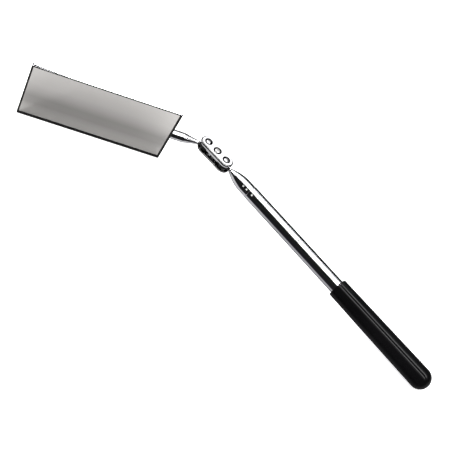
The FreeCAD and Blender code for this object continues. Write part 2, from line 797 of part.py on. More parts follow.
def build_everything():
    """Make each body and say which frame carries it."""
    carried = []
    head_pieces = [build_mirror_frame(), build_mirror_glass(), build_backing_pad(),
                   build_stem_ferrule(), build_tongue_rivets()]
    carried += [(body, "head", None) for body in head_pieces]
    carried.append((build_neck_pin("head_neck_pin"), "leaned", None))
    carried.append((build_ball("head_ball"), "swung", None))
    carried.append((link_plate("front_link_plate", True), "link", None))
    carried.append((link_plate("rear_link_plate", False), "link", turn(X_AXIS, 180)))
    carried.append((build_tension_screw(), "link", None))
    carried.append((build_ball("handle_ball"), "tilted", None))
    turned_round = turn(Z_AXIS, 180)
    marks_turned_up = turned_round.multiply(turn(X_AXIS, value("dimple_turn")))
    handle_pieces = [build_neck_pin("handle_neck_pin"), build_nose_ferrule()]
    handle_pieces += [build_inner_tube(number) for number in range(1, INNER_TUBES)]
    handle_pieces.append(build_tip_tube())
    handle_pieces += [build_sleeve(number) for number in range(1, INNER_TUBES + 1)]
    handle_pieces += [build_outer_tube(), build_tube_end_plug(), build_grip()]
    carried += [(body, "handle", marks_turned_up) for body in handle_pieces]
    return carried


def place_everything(carried, frames):
    for body, frame_name, extra in carried:
        place = frames[frame_name]
        body.Placement = place.multiply(extra) if extra else place
    DOCUMENT.recompute()


def overall_box():
    box = FreeCAD.BoundBox()
    for body in BODIES:
        box.add(body.Shape.optimalBoundingBox(False, False))
    return box


def check_everything():
    """Stop when a feature is in error or a body is not one valid solid."""
    for item in DOCUMENT.Objects:
        if any(word in item.State for word in ("Invalid", "Error")):
            raise ValueError("%s is in state %s" % (item.Name, item.State))
    for body in BODIES:
        solids = 2 if body.Label == "tongue_rivets" else 1
        shape = body.Shape
        if shape.isNull() or not shape.isValid() or len(shape.Solids) != solids:
            raise ValueError("%s is not sound" % body.Label)


def write_everything():
    os.makedirs("parts", exist_ok=True)
    for body in BODIES:
        body.Shape.exportStep("parts/%s.step" % body.Label)


def tell(frames):
    """Print where the joints are and how low each grounded piece reaches, for whoever writes the record."""
    for name, frame in frames.items():
        spots = [frame.Base]
        for axis in (X_AXIS, Y_AXIS, Z_AXIS):
            spots.append(frame.Rotation.multVec(FreeCAD.Vector(*axis)))
        print("FRAME", name, " ".join("%.5f,%.5f,%.5f" % tuple(spot) for spot in spots))
    for label in ("mirror_frame", "grip"):
        body = DOCUMENT.getObject(label)
        print("LOWEST", label, "%.4f" % body.Shape.optimalBoundingBox(False, False).ZMin)
    for number in range(1, INNER_TUBES + 1):
        mouth = "tube_mouth" if number == 1 else "inner_mouth"
        travel = value(tube_end(number) + "-sleeve_length-" + mouth + "-crimp_length-0.3")
        print("TRAVEL", number, "%.3f" % travel)
    print("BOX", overall_box())


CARRIED = build_everything()
DOCUMENT.recompute()
place_everything(CARRIED, working_frames(FreeCAD.Placement()))
FIRST_BOX = overall_box()
START = shift(-FIRST_BOX.Center.x, -FIRST_BOX.Center.y, -FIRST_BOX.ZMin)
FRAMES = working_frames(START)
place_everything(CARRIED, FRAMES)
check_everything()
write_everything()
tell(FRAMES)
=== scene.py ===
import json
import math

import bmesh
import bpy
from mathutils import Matrix, Vector


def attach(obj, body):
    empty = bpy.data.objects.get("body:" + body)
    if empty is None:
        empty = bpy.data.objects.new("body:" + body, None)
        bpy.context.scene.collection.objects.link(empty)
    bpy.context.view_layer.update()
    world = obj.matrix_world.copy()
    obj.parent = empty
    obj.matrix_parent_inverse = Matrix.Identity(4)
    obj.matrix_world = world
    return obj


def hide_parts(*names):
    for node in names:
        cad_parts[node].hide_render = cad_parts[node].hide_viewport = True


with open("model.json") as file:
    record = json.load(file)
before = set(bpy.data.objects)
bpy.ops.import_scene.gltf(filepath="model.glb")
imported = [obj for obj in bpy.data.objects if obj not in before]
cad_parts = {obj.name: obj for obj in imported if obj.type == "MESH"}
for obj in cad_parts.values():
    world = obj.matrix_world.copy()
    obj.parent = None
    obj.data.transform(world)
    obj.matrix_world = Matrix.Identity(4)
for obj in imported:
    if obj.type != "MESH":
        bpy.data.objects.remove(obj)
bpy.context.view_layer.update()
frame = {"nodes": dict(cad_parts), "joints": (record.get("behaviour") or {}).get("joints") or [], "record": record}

MM = 0.001
AROUND = 96

# Sizes in millimetres, the same as the CAD's. Distances along the handle start at the handle ball,
# and distances along the stem start at the head ball.
FRAME_LENGTH, FRAME_WIDTH, FRAME_DEPTH = 90.75, 54.6, 2.7
FRAME_NEAR = 22.6
FRAME_FAR = FRAME_NEAR + FRAME_LENGTH
FACE = 3.0
FRAME_BACK = FACE - FRAME_DEPTH
LIP_NEAR, LIP_FAR, LIP_TOP, LIP_BOTTOM = 1.5, 1.2, 1.1, 2.4
LIP_DROP = 0.35
BACK_ROLL, FRONT_ROLL = 0.35, 0.35
FRAME_CORNER = 0.9
GLASS_INSET, GLASS_BEVEL, GLASS_THICKNESS = 0.55, 0.2, 1.6
STEM_RADIUS = 3.175
STEM_TIP_END, STEM_END = 6.2, FRAME_NEAR - 0.2
CONE_START, CONE_START_RADIUS, CONE_END = 6.6, 1.55, 14.0
HEEL_LENGTH, HEEL_TIP_RADIUS = 7.0, 0.9
TONGUE_END, TONGUE_HALF_WIDTH = 50.0, 4.3
TONGUE_THICKNESS, TONGUE_CORNER, TONGUE_CLEARANCE = 1.2, 2.5, 0.02
TUBE_RADIUS, TUBE_BORE, TUBE_MOUTH_BORE = 4.7625, 4.2625, 4.05
TUBE_MOUTH, TUBE_END = 24.14, 171.4
NOSE_START, NOSE_TANGENT, NOSE_BASE = 5.4, 19.2, 24.0
NOSE_TIP_RADIUS, NOSE_RADIUS = 1.45, 4.6
NECK_RADIUS, NECK_PIN_END = 1.1, 11.5
BALL_RADIUS, BALL_SEAT = 3.97, 3.995
BALL_SPACING = 15.5
WINDOW_RADIUS, RECESS_RADIUS, SCREW_TOP_RADIUS = 2.6, 2.75, 1.6
PLATE_FACE, PLATE_STRAIGHT, PLATE_FLAT = 3.7, 7.95, 3.75
# Each telescoping tube is smaller than the one outside it by the step, and a little shorter.
SECTION_RADIUS, SECTION_STEP, SECTION_WALL, SECTION_GAP = 4.0, 0.65, 0.4, 0.05
SECTION_MOUTH, SECTION_END, SECTION_SHORTER = 24.3, 164.9, 3.0
LAST_TUBE_RADIUS, LAST_TUBE_BORE = 1.4, 1.0
LAST_TUBE_START, LAST_TUBE_END = 12.0, SECTION_END - 10.8
GRIP_MOUTH, GRIP_END = 100.6, 178.4
GRIP_MOUTH_RADIUS, GRIP_RADIUS, GRIP_BEAD = 6.25, 6.9, 0.6
# Stake marks: two on the nose, measured back from its base, and one measured on from the tube's mouth.
NOSE_STAKES, TUBE_STAKE = (4.95, 2.05), 2.5
STAKE_RADIUS, STAKE_RISE, STAKE_ANGLE = 0.7, 0.3, 50.0

# Places of the finishes in a piece's material list.
TRAY_PAINTED_DARK, TRAY_BACK = 1, 2
CAD_OWN, CAD_RECESS_PAINTED_SHADE, CAD_EDGE_PAINTED_SHADE = 0, 1, 2


# ---------------------------------------------------------------- working frames

def joint(name):
    """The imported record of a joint."""
    return next(item for item in frame["joints"] if item["name"] == name)


def axes_at(origin, x_axis, y_axis):
    """A frame with its origin and first two directions given, all in the row frame."""
    x_axis = Vector(x_axis).normalized()
    z_axis = x_axis.cross(Vector(y_axis)).normalized()
    y_axis = z_axis.cross(x_axis)
    matrix = Matrix((x_axis, y_axis, z_axis)).transposed().to_4x4()
    matrix.translation = Vector(origin)
    return matrix


def working_frames():
    """Frames of the handle (+X from the ball to the grip), the link (+Z out of the front plate)
    and the head (+Z out of the mirror).
    """
    spin, tilt = joint("tip_spin"), joint("tip_tilt")
    along = Vector(spin["axis"])
    handle = axes_at(spin["pos_m"], -along, -Vector(tilt["axis"]))
    screw = joint("screw_turn")
    between = Vector(joint("head_swing")["pos_m"]) - Vector(joint("tip_swing")["pos_m"])
    link = axes_at(screw["pos_m"], between, Vector(screw["axis"]).cross(between))
    edge = next(item for item in frame["record"]["mounts"] if item["name"] == "standing_edge")
    head_spin = joint("head_spin")
    head = axes_at(head_spin["pos_m"], head_spin["axis"], edge["axis"])
    return handle, link, head


HANDLE, LINK, HEAD = working_frames()


# ---------------------------------------------------------------- mesh building

def finish_piece(name, mesh, place, body, slot, material, *replaced, own_axes=False):
    """Add a mesh as a piece of the object, moved from its working frame to the row frame.

    A piece with its own axes keeps its mesh in the working frame, for a finish that is laid out in it.
    """
    piece = bpy.data.objects.new(name, mesh)
    bpy.context.scene.collection.objects.link(piece)
    if own_axes:
        piece.matrix_world = place
    else:
        mesh.transform(place)
    for one in (material if isinstance(material, (list, tuple)) else [material]):
        mesh.materials.append(one)
    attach(piece, body)
    if replaced:
        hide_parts(*replaced)
    even = piece.modifiers.new("flat_faces_stay_flat", "WEIGHTED_NORMAL")
    even.keep_sharp = True
    return piece


def mesh_from(builder, name):
    """The builder's geometry as a new mesh."""
    mesh = bpy.data.meshes.new(name)
    builder.to_mesh(mesh)
    builder.free()
    return mesh


def arc(centre, radius, start, end, steps):
    """Points on an arc in the plane of a profile; the angles are in degrees."""
    points = []
    for number in range(steps + 1):
        angle = math.radians(start + (end - start) * number / steps)
        points.append((centre[0] + radius * math.cos(angle), centre[1] + radius * math.sin(angle)))
    return points


def flat_ring(builder, outline, height):
    """Points of an outline at one height, in millimetres, as vertices."""
    return [builder.verts.new((x * MM, y * MM, height * MM)) for x, y in outline]


def round_vertex(builder, along, radius, angle):
    """A vertex at a radius from the X axis, in millimetres and radians."""
    return builder.verts.new((along * MM, radius * MM * math.cos(angle), radius * MM * math.sin(angle)))


def turned(profile, around=AROUND, crease=28.0, closed=True):
    """Turn a profile of (along, radius) points in millimetres about the X axis."""
    builder = bmesh.new()
    rings = []
    for along, radius in profile:
        if radius < 1e-6:
            rings.append([builder.verts.new((along * MM, 0, 0))])
            continue
        rings.append([round_vertex(builder, along, radius, 2 * math.pi * number / around)
                      for number in range(around)])
    pairs = list(zip(rings, rings[1:]))
    if closed:
        pairs.append((rings[-1], rings[0]))
    for first, second in pairs:
        join_rings(builder, first, second)
    bmesh.ops.recalc_face_normals(builder, faces=builder.faces)
    set_shading(builder, crease)
    return builder


def join_rings(builder, first, second):
    """Faces between two rings of vertices, either of which may be a single point."""
    count = max(len(first), len(second))
    if count == 1:
        return
    for number in range(count):
        after = (number + 1) % count
        corners = [first[number % len(first)], first[after % len(first)],
                   second[after % len(second)], second[number % len(second)]]
        unique = [corner for place, corner in enumerate(corners) if corner not in corners[:place]]
        builder.faces.new(unique)


def set_shading(builder, crease):
    """Shade smooth, and keep an edge sharp where its two faces meet at more than the crease angle."""
    for face in builder.faces:
        face.smooth = True
    limit = math.radians(crease)
    for edge in builder.edges:
        edge.smooth = len(edge.link_faces) == 2 and edge.calc_face_angle(0.0) < limit


def rounded_rectangle(left, bottom, right, top, radius, steps=6):
    """Outline points, anticlockwise, with rounded corners."""
    corners = [((right - radius, bottom + radius), -90), ((right - radius, top - radius), 0),
               ((left + radius, top - radius), 90), ((left + radius, bottom + radius), 180)]
    points = []
    for centre, start in corners:
        points += arc(centre, radius, start, start + 90, steps)
    return points


# ---------------------------------------------------------------- materials

def new_material(name):
    """A material with its nodes, links and shader."""
    material = bpy.data.materials.new(name)
    material.use_nodes = True
    nodes = material.node_tree.nodes
    shader = nodes["Principled BSDF"]
    return material, nodes, material.node_tree.links, shader


def noise(nodes, links, scale, detail=3.0, stretch=None, heading=0.0):
    """Noise in the piece's own coordinates. A stretch is along a heading about Z, in radians."""
    place = nodes.new("ShaderNodeTexCoord")
    texture = nodes.new("ShaderNodeTexNoise")
    texture.inputs["Scale"].default_value = scale
    texture.inputs["Detail"].default_value = detail
    source = place.outputs["Object"]
    if stretch:
        mapping = nodes.new("ShaderNodeMapping")
        mapping.vector_type = "TEXTURE"
        mapping.inputs["Rotation"].default_value = (0.0, 0.0, heading)
        mapping.inputs["Scale"].default_value = stretch
        links.new(source, mapping.inputs["Vector"])
        source = mapping.outputs["Vector"]
    links.new(source, texture.inputs["Vector"])
    return texture.outputs["Fac"]


def ramp(nodes, links, source, stops):
    """Colour ramp through (position, grey or colour) stops."""
    node = nodes.new("ShaderNodeValToRGB")
    elements = node.color_ramp.elements
    while len(elements) < len(stops):
        elements.new(0.5)
    for element, (position, colour) in zip(elements, stops):
        element.position = position
        if isinstance(colour, (int, float)):
            colour = (colour, colour, colour)
        element.color = (*colour, 1.0)
    links.new(source, node.inputs["Fac"])
    return node.outputs["Color"]


def bump(nodes, links, shader, source, distance):
    """Relief of a depth in metres on the shader."""
    node = nodes.new("ShaderNodeBump")
    node.inputs["Distance"].default_value = distance
    node.inputs["Strength"].default_value = 1.0
    links.new(source, node.inputs["Height"])
    links.new(node.outputs["Normal"], shader.inputs["Normal"])


def metal(name, dark, light, smooth, rough, scratch=(0.4, 0.03, 0.03), heading=0.0, depth=0.000003,
          metallic=1.0):
    """Plated or ground metal: cloudy tone, uneven polish and fine drawn scratches along its heading."""
    material, nodes, links, shader = new_material(name)
    shader.inputs["Metallic"].default_value = metallic
    clouds = noise(nodes, links, 90.0, 4.0)
    links.new(ramp(nodes, links, clouds, [(0.3, dark), (0.7, light)]), shader.inputs["Base Color"])
    polish = noise(nodes, links, 260.0, 5.0)
    links.new(ramp(nodes, links, polish, [(0.35, smooth), (0.75, rough)]), shader.inputs["Roughness"])
    lines = noise(nodes, links, 60.0, 6.0, scratch, heading)
    bump(nodes, links, shader, lines, depth)
    return material


def vinyl():
    """Black dipped vinyl: smooth gloss with a faint orange-peel skin."""
    material, nodes, links, shader = new_material("black_dipped_vinyl")
    tone = noise(nodes, links, 40.0, 3.0)
    links.new(ramp(nodes, links, tone, [(0.3, (0.0018, 0.0018, 0.002)), (0.7, (0.0033, 0.0033, 0.0036))]),
              shader.inputs["Base Color"])
    gloss = noise(nodes, links, 500.0, 4.0)
    links.new(ramp(nodes, links, gloss, [(0.3, 0.04), (0.7, 0.09)]), shader.inputs["Roughness"])
    shader.inputs["Specular IOR Level"].default_value = 0.125
    skin = noise(nodes, links, 900.0, 2.0)
    bump(nodes, links, shader, skin, 0.000002)
    return material


def silvered_glass():
    """Back-silvered mirror with a slightly warm cast, a little haze and dust."""
    material, nodes, links, shader = new_material("silvered_glass")
    shader.inputs["Metallic"].default_value = 1.0
    haze = noise(nodes, links, 14.0, 2.0)
    links.new(ramp(nodes, links, haze, [(0.3, (0.85, 0.825, 0.80)), (0.7, (0.90, 0.875, 0.85))]),
              shader.inputs["Base Color"])
    dust = noise(nodes, links, 700.0, 5.0)
    links.new(ramp(nodes, links, dust, [(0.45, 0.015), (0.8, 0.06)]), shader.inputs["Roughness"])
    return material


def ball_painted_shade_ring():
    """Ball bright in the middle of its window and near black around it, a ring of painted shade, in the link's own
    axes.
    """
    material, nodes, links, shader = new_material("ball_painted_shade_ring")
    place = nodes.new("ShaderNodeTexCoord")
    flat = nodes.new("ShaderNodeVectorMath")
    flat.operation = "MULTIPLY"
    flat.inputs[1].default_value = (1.0, 1.0, 0.0)
    links.new(place.outputs["Object"], flat.inputs[0])
    length = nodes.new("ShaderNodeVectorMath")
    length.operation = "LENGTH"
    links.new(flat.outputs[0], length.inputs[0])
    uneven = noise(nodes, links, 900.0, 2.0)
    edge = nodes.new("ShaderNodeMath")
    edge.operation = "MULTIPLY_ADD"
    edge.inputs[1].default_value = 0.3 * MM
    links.new(uneven, edge.inputs[0])
    links.new(length.outputs["Value"], edge.inputs[2])
    shade_ring = nodes.new("ShaderNodeMapRange")
    shade_ring.inputs["From Min"].default_value = 1.35 * MM
    shade_ring.inputs["From Max"].default_value = 1.65 * MM
    links.new(edge.outputs[0], shade_ring.inputs["Value"])
    links.new(ramp(nodes, links, shade_ring.outputs["Result"], [(0.0, (0.86, 0.86, 0.88)), (1.0, 0.02)]),
              shader.inputs["Base Color"])
    links.new(ramp(nodes, links, shade_ring.outputs["Result"], [(0.0, 0.32), (1.0, 0.25)]),
              shader.inputs["Roughness"])
    shader.inputs["Metallic"].default_value = 1.0
    return material


def plain(name, dark, light, roughness, scale, depth, specular=0.5):
    """Dull stuff such as card, or the near-black rim that paints shade and dark reflection."""
    material, nodes, links, shader = new_material(name)
    tone = noise(nodes, links, scale, 5.0)
    links.new(ramp(nodes, links, tone, [(0.3, dark), (0.7, light)]), shader.inputs["Base Color"])
    shader.inputs["Roughness"].default_value = roughness
    shader.inputs["Specular IOR Level"].default_value = specular
    grain = noise(nodes, links, scale * 4, 4.0)
    bump(nodes, links, shader, grain, depth)
    return material


HEAD_HEADING = math.atan2(HEAD[1][0], HEAD[0][0])
EVEN = (0.05, 0.05, 0.05)
PLATING = ((0.64, 0.64, 0.66), (0.70, 0.70, 0.72))
CHROME = metal("bright_chrome", *PLATING, 0.02, 0.06)
HEAD_CHROME = metal("head_chrome", *PLATING, 0.02, 0.06, heading=HEAD_HEADING)
BACK_CHROME = metal("worn_chrome", *PLATING, 0.10, 0.25, heading=HEAD_HEADING, metallic=0.8)
LINK_CHROME = metal("link_chrome", *PLATING, 0.02, 0.05, scratch=EVEN)
# Painted shade: a darker copy of the link chrome for the rear plate, standing in for the shade it lies in.
REAR_CHROME_PAINTED_SHADE = metal("chrome_painted_shade", 0.28, 0.36, 0.03, 0.08, scratch=EVEN)
# Painted shade: a dark copy of the chrome for the front plate's rounded rim, drawn as an outline.
EDGE_PAINTED_SHADE = metal("edge_painted_shade", 0.09, 0.15, 0.10, 0.20, scratch=EVEN)
STAKED = metal("staked_metal", 0.80, 0.90, 0.30, 0.45, scratch=EVEN)
# Painted shade: neck pins coloured near black, standing in for the shade at the necks between ball and stem.
PIN_STEEL_PAINTED_SHADE = metal("pin_steel", 0.07, 0.12, 0.12, 0.22)
TURNED_STEEL = metal("turned_steel", 0.45, 0.55, 0.2, 0.35)
DRAWN_STEEL = metal("drawn_steel", 0.13, 0.19, 0.28, 0.38)
BRASS = metal("sleeve_brass", (0.55, 0.40, 0.16), (0.72, 0.55, 0.26), 0.18, 0.32)
# Painted shade: each ball carries a near-black ring of painted shade round a bright middle.
BALL_STEEL = ball_painted_shade_ring()
MIRROR = silvered_glass()
# Painted shade and dark reflection: the tray's lip is coloured near black.
RIM_PAINTED_DARK = plain("rim_painted_shade_and_reflection", 0.003, 0.007, 0.4, 400.0, 0.00001, specular=0.12)
# Painted shade: near black for the ball windows, the screw recess and the screw's sides.
RECESS_PAINTED_SHADE = plain("recess_painted_shade", 0.003, 0.008, 0.3, 600.0, 0.00001, specular=0.2)
CARD = plain("backing_card", (0.30, 0.23, 0.15), (0.42, 0.33, 0.22), 0.9, 300.0, 0.00004)
VINYL = vinyl()


# ---------------------------------------------------------------- mirror head

def tray_outline(inset, lip=0.0):
    """Outline of the tray at a depth, inset evenly and then by a share of each side's lip."""
    half = FRAME_WIDTH / 2
    corner = max(FRAME_CORNER - inset - lip, 0.12)
    left = FRAME_NEAR + max(inset, lip * LIP_NEAR)
    right = FRAME_FAR - max(inset, lip * LIP_FAR)
    bottom = -half + max(inset, lip * LIP_TOP)
    top = half - max(inset, lip * LIP_BOTTOM)
    return rounded_rectangle(left, bottom, right, top, corner)


def build_frame():
    """Tray round the glass: flat back, rolled edges, and a lip folded over the face, coloured near black as
    painted shade and dark reflection.
    """
    section = [(BACK_ROLL, FRAME_BACK, 0.0)]
    for angle in (22.5, 45, 67.5, 90):
        turn = math.radians(angle)
        section.append((BACK_ROLL * (1 - math.sin(turn)),
                        FRAME_BACK + BACK_ROLL * (1 - math.cos(turn)), 0.0))
    for angle in (0, 30, 60, 90):
        turn = math.radians(angle)
        section.append((FRONT_ROLL * (1 - math.cos(turn)), FACE - FRONT_ROLL * (1 - math.sin(turn)), 0.0))
    section += [(0.0, FACE, 0.93), (0.0, FACE - 0.08, 1.0), (0.0, FACE - LIP_DROP - 0.02, 1.0)]
    builder = bmesh.new()
    rings = []
    for inset, height, lip in section:
        rings.append(flat_ring(builder, tray_outline(inset, lip), height))
    for first, second in zip(rings, rings[1:]):
        join_rings(builder, first, second)
    builder.faces.new(list(reversed(rings[0])))
    bmesh.ops.recalc_face_normals(builder, faces=builder.faces)
    set_shading(builder, 35.0)
    for face in builder.faces:
        centre = face.calc_center_median()
        along_top = centre.y < (LIP_TOP - FRAME_WIDTH / 2) * MM
        dark_from = FACE - 0.05 if along_top else FACE - FRONT_ROLL * 0.95
        # Painted shade and dark reflection: the lip over the face takes the near-black rim colour.
        if centre.z > dark_from * MM:
            face.material_index = TRAY_PAINTED_DARK
        elif centre.z < (FRAME_BACK + 0.01) * MM:
            face.material_index = TRAY_BACK
    mesh = mesh_from(builder, "mirror_frame_tray")
    finish_piece("mirror_frame_tray", mesh, HEAD, "head", "frame_chrome", [HEAD_CHROME, RIM_PAINTED_DARK, BACK_CHROME],
                 "mirror_frame")


def build_glass():
    """Plate glass with a ground edge."""
    half = FRAME_WIDTH / 2
    front = FACE - LIP_DROP
    builder = bmesh.new()
    rings = []
    for inset, height in ((GLASS_INSET, front - GLASS_THICKNESS), (GLASS_INSET, front - GLASS_BEVEL),
                          (GLASS_INSET + GLASS_BEVEL, front)):
        outline = rounded_rectangle(FRAME_NEAR + inset, -half + inset, FRAME_FAR - inset, half - inset,
                                    0.3, 3)
        rings.append(flat_ring(builder, outline, height))
    for first, second in zip(rings, rings[1:]):
        join_rings(builder, first, second)
    builder.faces.new(list(reversed(rings[0])))
    builder.faces.new(rings[-1])
    bmesh.ops.recalc_face_normals(builder, faces=builder.faces)
    mesh = mesh_from(builder, "silvered_plate")
    finish_piece("silvered_plate", mesh, HEAD, "head", "mirror_silver", MIRROR, "mirror_glass")


def build_stem():
    """Turned stem with a conical front end, hollow where the neck pin goes in."""
    bore = NECK_RADIUS + 0.03
    profile = [(NOSE_START, bore), (NOSE_START, NOSE_TIP_RADIUS - 0.1), (NOSE_START + 0.1, NOSE_TIP_RADIUS),
               (STEM_TIP_END, NOSE_TIP_RADIUS), (CONE_START, CONE_START_RADIUS),
               (CONE_END, STEM_RADIUS - 0.12), (CONE_END + 0.6, STEM_RADIUS - 0.02),
               (CONE_END + 1.1, STEM_RADIUS), (STEM_END - 0.1, STEM_RADIUS), (STEM_END, STEM_RADIUS - 0.1),
               (STEM_END, 0.0), (NECK_PIN_END + 0.2, 0.0), (NECK_PIN_END + 0.2, bore)]
    finish_piece("stem_turned", mesh_from(turned(profile), "stem_turned"), HEAD, "head",
                 "ferrule_chrome", HEAD_CHROME, "stem_ferrule")


def build_heel():
    """Half cone under the tray that runs the stem out into its tongue."""
    builder = bmesh.new()
    steps = 32
    rings = []
    for along, radius in ((STEM_END - 0.3, STEM_RADIUS - 0.02), (STEM_END, STEM_RADIUS - 0.02),
                          (STEM_END + HEEL_LENGTH, HEEL_TIP_RADIUS)):
        rings.append([round_vertex(builder, along, radius, math.pi + math.pi * number / steps)
                      for number in range(steps + 1)])
    for first, second in zip(rings, rings[1:]):
        for number in range(steps):
            builder.faces.new((first[number], first[number + 1], second[number + 1], second[number]))
    builder.faces.new(rings[0])
    builder.faces.new(list(reversed(rings[-1])))
    builder.faces.new([ring[0] for ring in rings] + [ring[-1] for ring in reversed(rings)])
    bmesh.ops.recalc_face_normals(builder, faces=builder.faces)
    set_shading(builder, 30.0)
    finish_piece("stem_heel", mesh_from(builder, "stem_heel"), HEAD, "head", "ferrule_chrome", HEAD_CHROME)


def build_tongue():
    """Flat tongue behind the tray with a rounded end, its lower edges softened."""
    half = TONGUE_HALF_WIDTH
    end_centre = TONGUE_END - TONGUE_CORNER
    outline = [(STEM_END - 1.0, -STEM_RADIUS + 0.4), (STEM_END + 4.0, -half)]
    outline += arc((end_centre, -half + TONGUE_CORNER), TONGUE_CORNER, -90, 0, 8)
    outline += arc((end_centre, half - TONGUE_CORNER), TONGUE_CORNER, 0, 90, 8)
    outline += [(STEM_END + 4.0, half), (STEM_END - 1.0, STEM_RADIUS - 0.4)]
    builder = bmesh.new()
    face = builder.faces.new(flat_ring(builder, outline, FRAME_BACK - TONGUE_CLEARANCE))
    grown = bmesh.ops.extrude_face_region(builder, geom=[face])
    moved = [item for item in grown["geom"] if isinstance(item, bmesh.types.BMVert)]
    bmesh.ops.translate(builder, verts=moved, vec=(0, 0, -(TONGUE_THICKNESS - TONGUE_CLEARANCE) * MM))
    bmesh.ops.recalc_face_normals(builder, faces=builder.faces)
    lower = [edge for edge in builder.edges
             if all(vert.co.z < (FRAME_BACK - TONGUE_THICKNESS + 0.1) * MM for vert in edge.verts)]
    bmesh.ops.bevel(builder, geom=lower, offset=0.3 * MM, segments=3, affect="EDGES", profile=0.6)
    set_shading(builder, 40.0)
    finish_piece("stem_tongue", mesh_from(builder, "stem_tongue"), HEAD, "head", "ferrule_chrome",
                 HEAD_CHROME)


# ---------------------------------------------------------------- joints

def build_balls():
    """Two steel balls, turned about the link's upright axis so that their ring of painted shade lies square to it.
    """
    profile = [(along, max(radius, 0.0)) for along, radius in arc((0.0, 0.0), BALL_RADIUS, 180, 0, 40)]
    upright = Matrix.Rotation(math.radians(-90.0), 4, "Y")
    for side, swing in (("head", "head_swing"), ("handle", "tip_swing")):
        builder = turned(profile, 64, closed=False)
        bmesh.ops.transform(builder, matrix=upright, verts=builder.verts)
        place = LINK.copy()
        place.translation = Vector(joint(swing)["pos_m"])
        name = side + "_ball_sphere"
        finish_piece(name, mesh_from(builder, name), place, side + "_ball_turn", "ball_steel", BALL_STEEL,
                     side + "_ball", own_axes=True)


def build_necks():
    """Neck pins, each with a hollow end that fits its ball."""
    reach = math.degrees(math.asin(NECK_RADIUS / BALL_SEAT))
    profile = arc((0.0, 0.0), BALL_SEAT, 0, reach, 5)
    profile += [(NECK_PIN_END - 0.3, NECK_RADIUS), (NECK_PIN_END, NECK_RADIUS - 0.3), (NECK_PIN_END, 0.0)]
    for name, place, body in (("head_neck_turned", HEAD, "head_neck"),
                              ("handle_neck_turned", HANDLE, "tip")):
        mesh = mesh_from(turned(profile, 48, closed=False), name)
        finish_piece(name, mesh, place, body, "pin_steel", PIN_STEEL_PAINTED_SHADE, name.replace("_turned", "_pin"))


# ---------------------------------------------------------------- handle

def build_nose():
    """Bullet-shaped ferrule, an arc of a large circle that runs out level at its base."""
    run = NOSE_TANGENT - NOSE_START - 0.4
    rise = NOSE_RADIUS - NOSE_TIP_RADIUS
    size = (run * run + rise * rise) / (2 * rise)
    centre = (NOSE_TANGENT, NOSE_RADIUS - size)
    start = 90 + math.degrees(math.asin(run / size))
    profile = [(NOSE_START, NECK_RADIUS), (NOSE_START, NOSE_TIP_RADIUS)]
    profile += arc(centre, size, start, 90, 40)
    profile += arc((NOSE_BASE - 0.2, NOSE_RADIUS - 0.2), 0.2, 90, 0, 4)
    profile += [(NOSE_BASE, LAST_TUBE_RADIUS), (LAST_TUBE_START, LAST_TUBE_RADIUS),
                (LAST_TUBE_START, NECK_RADIUS)]
    piece = finish_piece("nose_turned", mesh_from(turned(profile), "nose_turned"), HANDLE, "tip",
                         "ferrule_chrome", CHROME, "nose_ferrule")
    first, second = NOSE_STAKES
    punch(piece, [(NOSE_BASE - first, NOSE_RADIUS - 0.1), (NOSE_BASE - second, NOSE_RADIUS)])


def build_outer_tube():
    """Drawn tube with a crimped mouth."""
    profile = [(TUBE_MOUTH, TUBE_MOUTH_BORE)]
    profile += arc((TUBE_MOUTH + 0.25, TUBE_RADIUS - 0.25), 0.25, 180, 90, 5)
    profile += [(TUBE_END, TUBE_RADIUS), (TUBE_END, TUBE_BORE), (TUBE_MOUTH + 1.5, TUBE_BORE),
                (TUBE_MOUTH + 1.2, TUBE_MOUTH_BORE)]
    piece = finish_piece("outer_tube_drawn", mesh_from(turned(profile), "outer_tube_drawn"), HANDLE,
                         "handle", "tube_chrome", CHROME, "outer_tube")
    punch(piece, [(TUBE_MOUTH + TUBE_STAKE, TUBE_RADIUS)])


def punch(piece, spots):
    """Cut round stake marks into a turned piece with a Boolean, then remove the cutters."""
    towards = math.radians(STAKE_ANGLE)
    for along, radius in spots:
        builder = bmesh.new()
        bmesh.ops.create_icosphere(builder, subdivisions=3, radius=STAKE_RADIUS * MM)
        out = (radius + STAKE_RISE) * MM
        bmesh.ops.translate(builder, verts=builder.verts,
                            vec=(along * MM, -out * math.sin(towards), out * math.cos(towards)))
        cutter = bpy.data.objects.new("cutter", mesh_from(builder, "cutter"))
        cutter.data.materials.append(STAKED)
        bpy.context.scene.collection.objects.link(cutter)
        cutter.matrix_world = HANDLE
        bpy.context.view_layer.update()
        modifier = piece.modifiers.new("stake", "BOOLEAN")
        piece.modifiers.move(1, 0)
        modifier.object = cutter
        modifier.operation = "DIFFERENCE"
        modifier.solver = "EXACT"
        modifier.material_mode = "TRANSFER"
        apply_stake(piece)
        bpy.data.objects.remove(cutter)


def apply_stake(piece):
    """Keep the mesh as the piece's modifiers leave it, and drop the Boolean."""
    view = bpy.context.evaluated_depsgraph_get()
    made = bpy.data.meshes.new_from_object(piece.evaluated_get(view), depsgraph=view)
    piece.data = made
    piece.modifiers.remove(piece.modifiers["stake"])


